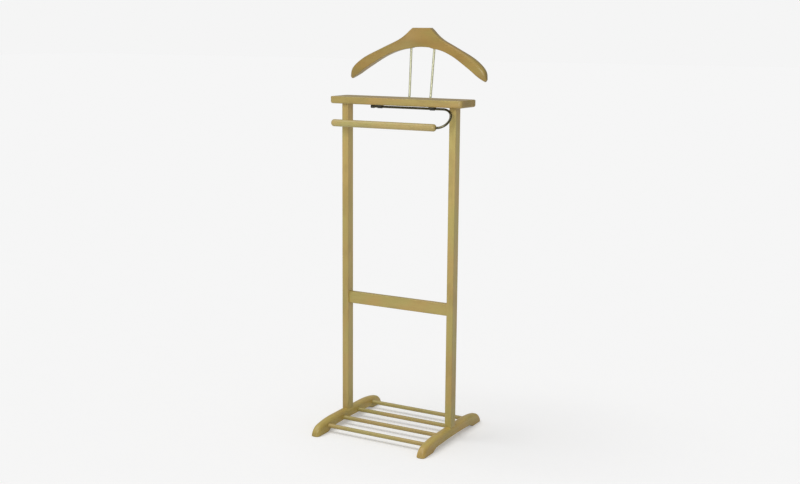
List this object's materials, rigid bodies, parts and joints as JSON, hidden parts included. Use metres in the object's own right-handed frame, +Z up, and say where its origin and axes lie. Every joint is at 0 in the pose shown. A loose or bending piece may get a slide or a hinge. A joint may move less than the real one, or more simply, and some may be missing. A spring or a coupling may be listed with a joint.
{
  "type": "valet stand",
  "caption": "Beech valet stand with rounded feet, shoe rack, mid rail, top shelf, coat hanger on two bent rods and a swinging trouser bar.",
  "frame": {"origin": "on the floor, at the centre of the footprint", "axes": "+Z up, -Y towards the front where the trouser bar hangs, +X to the right seen from the front"},
  "size_m": [0.436, 0.3674, 1.15],
  "materials": {
    "beech_frame": "satin lacquer",
    "beech_hanger": "satin lacquer",
    "beech_rods": "satin lacquer",
    "beech_pins": "raw",
    "pale_brass": "polished",
    "chromed_rod": "polished",
    "black_moulding": "matte",
    "zinc_screws": "zinc plated"
  },
  "bodies": {
    "frame": {"left_foot": "beech_frame", "right_foot": "beech_frame", "left_upright": "beech_frame", "right_upright": "beech_frame", "cross_rail": "beech_frame", "top_shelf": "beech_frame", "coat_hanger": "beech_hanger", "hanger_rod_left": "pale_brass", "hanger_rod_right": "pale_brass", "shoe_rack_rod_1": "beech_rods", "shoe_rack_rod_2": "beech_rods", "shoe_rack_rod_3": "beech_rods", "shoe_rack_rod_4": "beech_rods", "rod_saddle_left": "black_moulding", "rod_saddle_right": "black_moulding", "saddle_screws": "zinc_screws", "foot_screws": "zinc_screws", "shelf_dowel_pins": "beech_pins", "rail_dowel_pins": "beech_pins"},
    "trouser_hanger": {"trouser_rod": "chromed_rod", "trouser_bar": "beech_rods", "stop_collar": "black_moulding", "stop_collar_screw": "zinc_screws"}
  },
  "joints": [
    {"name": "trouser_bar_swing", "type": "hinge", "parent": "frame", "child": "trouser_hanger", "pos_m": [0.03, -0.02, 0.9331], "axis": [-1, 0, 0], "range_deg": [0, 50]}
  ]
}
